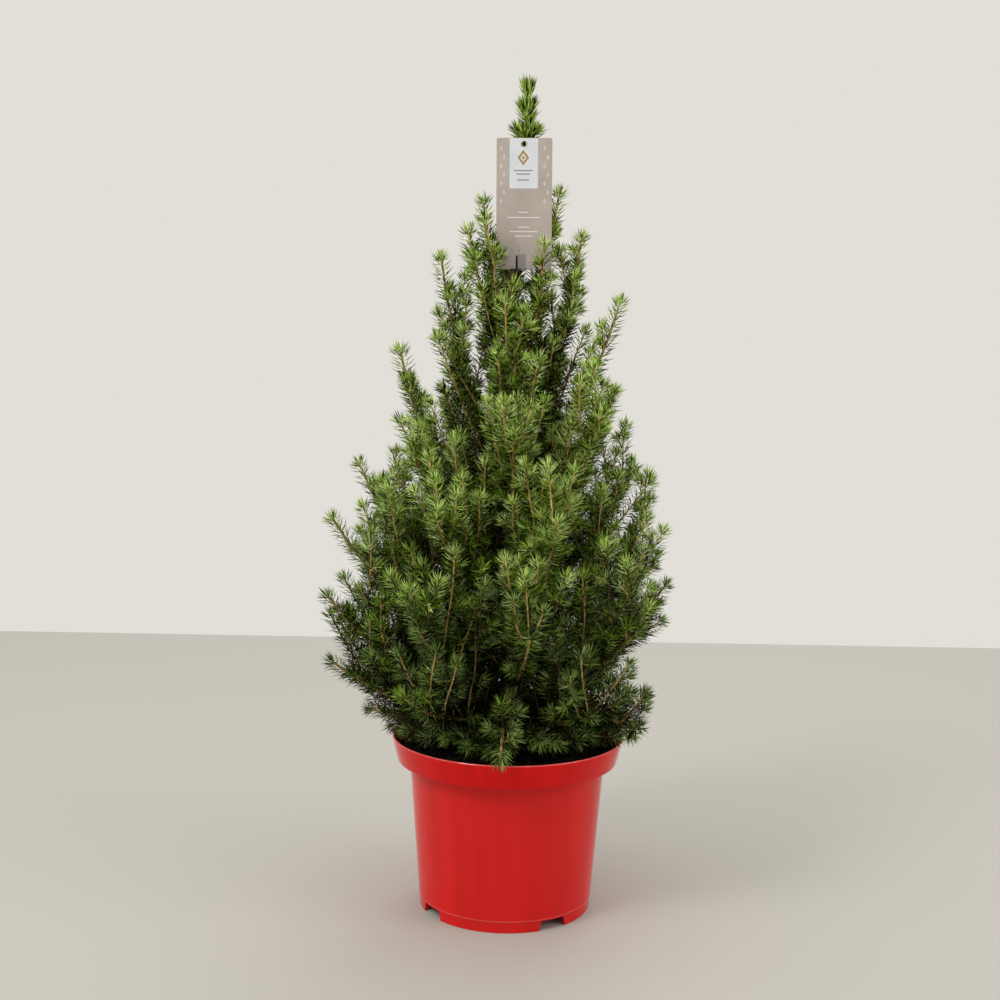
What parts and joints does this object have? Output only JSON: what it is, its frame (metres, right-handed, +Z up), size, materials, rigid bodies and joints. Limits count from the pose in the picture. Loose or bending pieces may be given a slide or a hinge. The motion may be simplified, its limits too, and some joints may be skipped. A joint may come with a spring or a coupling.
{
  "type": "potted alberta spruce",
  "caption": "Dwarf conical white spruce with upswept needled shoots, growing in peat in a round plastic nursery pot with a card label.",
  "frame": {"origin": "on the ground under the middle of the plant, which is the middle of the pot's foot to within 4 mm", "axes": "+Z up along the trunk, -Y towards the front with the label, +X to the right seen from the front"},
  "size_m": [0.2959, 0.2857, 0.6733],
  "materials": {
    "pot_plastic": "glossy moulded red polypropylene with soft upright streaks",
    "peat": "dark crumbly peat",
    "bark": "scaly brown bark, tan on young twigs",
    "needles": "green needles, brighter at the tips",
    "label_card": "satin taupe printed card with a pale panel"
  },
  "bodies": {
    "root": {"pot": "pot_plastic", "potting_soil": "peat", "trunk": "bark", "plant_label": "label_card", "bough_a1": "bark", "foliage_a1": "needles", "bough_a2": "bark", "foliage_a2": "needles", "bough_a3": "bark", "foliage_a3": "needles", "bough_a4": "bark", "foliage_a4": "needles", "bough_a5": "bark", "foliage_a5": "needles", "bough_a6": "bark", "foliage_a6": "needles", "bough_a7": "bark", "foliage_a7": "needles", "bough_a8": "bark", "foliage_a8": "needles", "bough_b1": "bark", "foliage_b1": "needles", "bough_b2": "bark", "foliage_b2": "needles", "bough_b3": "bark", "foliage_b3": "needles", "bough_b4": "bark", "foliage_b4": "needles", "bough_b5": "bark", "foliage_b5": "needles", "bough_b6": "bark", "foliage_b6": "needles", "bough_b7": "bark", "foliage_b7": "needles", "foliage_c1": "needles", "foliage_c2": "needles", "foliage_c3": "needles", "foliage_c4": "needles", "foliage_c5": "needles", "foliage_c6": "needles", "foliage_c7": "needles", "foliage_d1": "needles", "foliage_d2": "needles", "foliage_d3": "needles", "foliage_d4": "needles", "foliage_d5": "needles", "foliage_d6": "needles", "foliage_d7": "needles", "foliage_e1": "needles", "foliage_e2": "needles", "foliage_e3": "needles", "foliage_e4": "needles", "foliage_e5": "needles", "foliage_e6": "needles", "foliage_e7": "needles", "foliage_f1": "needles", "foliage_f2": "needles", "foliage_f3": "needles", "foliage_f4": "needles", "foliage_leader": "needles"}
  },
  "joints": []
}
